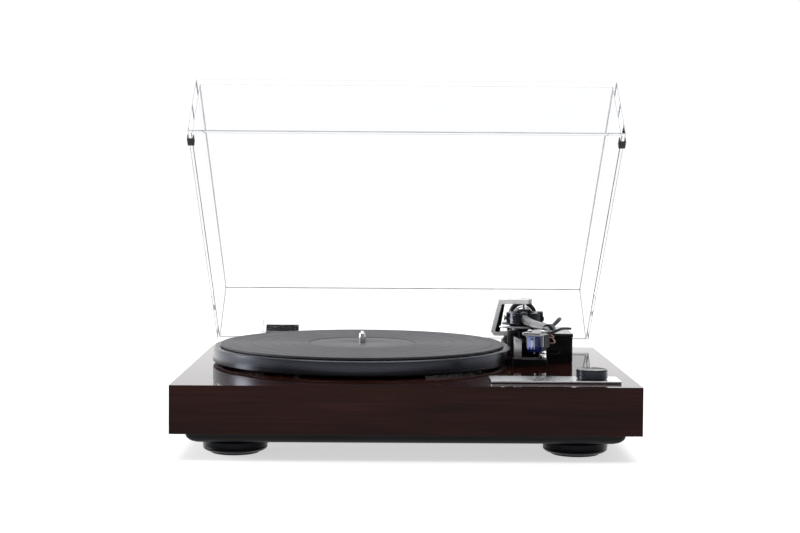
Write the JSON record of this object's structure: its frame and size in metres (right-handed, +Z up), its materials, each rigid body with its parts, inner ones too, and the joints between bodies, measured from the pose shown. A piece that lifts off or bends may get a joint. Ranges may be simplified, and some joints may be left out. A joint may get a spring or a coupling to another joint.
{
  "type": "turntable record player",
  "caption": "Belt-driven record player with lacquered wood plinth, heavy platter, S-shaped tonearm and a hinged clear dust cover, shown open.",
  "frame": {"origin": "centre of the overall box at the feet, with the cover open as stored", "axes": "+X to the right seen from the front, +Y to the back, +Z up"},
  "size_m": [0.419, 0.403, 0.3457],
  "materials": {
    "lacquered_wood": "high gloss lacquer over reddish brown veneer",
    "black_plastic": "fine grained moulding",
    "foot_rubber": "satin rubber over a plastic core",
    "mat_rubber": "matt, with fine concentric grooves",
    "black_anodised": "satin black anodised",
    "gloss_black": "polished black",
    "steel": "turned steel",
    "chrome": "polished",
    "aluminium": "satin silver",
    "brass": "turned",
    "clear_acrylic": "clear polished acrylic",
    "blue_plastic": "glossy dark blue",
    "circuit_board": "green laminate",
    "belt_rubber": "ground flat belt"
  },
  "bodies": {
    "base": {"plinth": "lacquered_wood", "base_tray": "black_plastic", "control_plate": "black_anodised", "speed_switch": "steel", "bearing_well": "brass", "thrust_ball": "steel", "drive_belt": "belt_rubber", "motor": "steel", "rear_panel": "black_plastic", "phono_jack_left": "brass", "phono_jack_right": "brass", "power_jack": "black_plastic", "circuit_board": "circuit_board", "hinge_bracket_left": "black_plastic", "hinge_bracket_right": "black_plastic", "hinge_pin_left": "steel", "hinge_pin_right": "steel", "arm_pedestal": "gloss_black", "arm_bridge": "chrome", "pivot_screw": "black_anodised", "cue_box": "gloss_black", "cue_cylinder": "black_plastic", "rest_upright": "steel", "rest_cradle": "gloss_black", "foot_front_left": "foot_rubber", "foot_front_right": "foot_rubber", "foot_rear_left": "foot_rubber", "foot_rear_right": "foot_rubber"},
    "cover": {"dust_cover": "clear_acrylic", "hinge_leaf_left": "black_plastic", "hinge_leaf_right": "black_plastic", "hinge_sleeve_left": "clear_acrylic", "hinge_sleeve_right": "clear_acrylic", "cover_bumper_left": "foot_rubber", "cover_bumper_right": "foot_rubber"},
    "platter": {"platter": "black_anodised", "slip_mat": "mat_rubber", "drive_ring": "black_plastic", "spindle": "steel"},
    "pulley": {"motor_pulley": "brass"},
    "knob": {"speed_knob": "black_anodised"},
    "arm_bearing": {"gimbal_ring": "black_anodised", "bearing_pin_left": "steel", "bearing_pin_right": "steel"},
    "tonearm": {"arm_block": "black_anodised", "arm_tube": "aluminium", "weight_shaft": "steel", "headshell": "aluminium", "finger_lift": "black_anodised", "cartridge": "black_plastic", "stylus_assembly": "blue_plastic"},
    "collar": {"headshell_collar": "aluminium"},
    "weight": {"counterweight": "black_anodised"},
    "dial": {"force_dial": "aluminium"},
    "lever": {"cue_lever": "chrome"},
    "rail": {"cue_rail": "aluminium"},
    "clip": {"rest_clip": "black_plastic"},
    "skate": {"skate_knob": "black_anodised"},
    "gain": {"gain_slider": "black_plastic"},
    "ground": {"ground_terminal": "steel"}
  },
  "joints": [
    {"name": "cover_hinge", "type": "hinge", "parent": "base", "child": "cover", "pos_m": [0, 0.15697, 0.0619], "axis": [1, 0, 0], "range_deg": [0, 40.8]},
    {"name": "platter_spin", "type": "hinge", "parent": "base", "child": "platter", "pos_m": [-0.0424, -0.00903, 0.0673], "axis": [0, 0, -1], "continuous": true},
    {"name": "pulley_spin", "type": "hinge", "parent": "base", "child": "pulley", "pos_m": [-0.12018, 0.06875, 0.0673], "axis": [0, 0, -1], "continuous": true},
    {"name": "knob_turn", "type": "hinge", "parent": "base", "child": "knob", "pos_m": [0.1693, -0.15793, 0.0697], "axis": [0, 0, -1], "range_deg": [0, 90]},
    {"name": "arm_swing", "type": "hinge", "parent": "base", "child": "arm_bearing", "pos_m": [0.1286, 0.09447, 0.1038], "axis": [0, 0, -1], "range_deg": [0, 43]},
    {"name": "arm_tilt", "type": "hinge", "parent": "arm_bearing", "child": "tonearm", "pos_m": [0.1286, 0.09447, 0.1038], "axis": [-0.9992, 0.0391, 0], "range_deg": [-0.2, 5.5]},
    {"name": "weight_slide", "type": "slide", "parent": "tonearm", "child": "weight", "axis": [0.0391, 0.9992, 0], "range_m": [-0.002, 0.0025]},
    {"name": "dial_turn", "type": "hinge", "parent": "weight", "child": "dial", "pos_m": [0.12968, 0.12195, 0.1038], "axis": [0.0391, 0.9992, 0], "range_deg": [-180, 180]},
    {"name": "collar_turn", "type": "hinge", "parent": "tonearm", "child": "collar", "pos_m": [0.13851, -0.08333, 0.1075], "axis": [-0.4106, -0.9118, 0], "range_deg": [0, 30]},
    {"name": "lever_turn", "type": "hinge", "parent": "base", "child": "lever", "pos_m": [0.1457, 0.00347, 0.0913], "axis": [-1, 0, 0], "range_deg": [0, 55]},
    {"name": "rail_lift", "type": "slide", "parent": "base", "child": "rail", "axis": [0, 0, 1], "range_m": [0, 0.002]},
    {"name": "clip_turn", "type": "hinge", "parent": "base", "child": "clip", "pos_m": [0.141, -0.02373, 0.0953], "axis": [0, -1, 0], "range_deg": [0, 180]},
    {"name": "skate_turn", "type": "hinge", "parent": "base", "child": "skate", "pos_m": [0.158, 0.11447, 0.0673], "axis": [0, 0, -1], "range_deg": [0, 270]},
    {"name": "gain_slide", "type": "slide", "parent": "base", "child": "gain", "axis": [1, 0, 0], "range_m": [0, 0.0072]},
    {"name": "ground_turn", "type": "hinge", "parent": "base", "child": "ground", "pos_m": [0.048, 0.14747, 0.0438], "axis": [0, -1, 0], "range_deg": [0, 360]}
  ],
  "couplings": [
    {"joint": "pulley_spin", "follows": "platter_spin", "ratio": 8.9855},
    {"joint": "lever_turn", "follows": "rail_lift", "rad_per_m": 479.9}
  ]
}
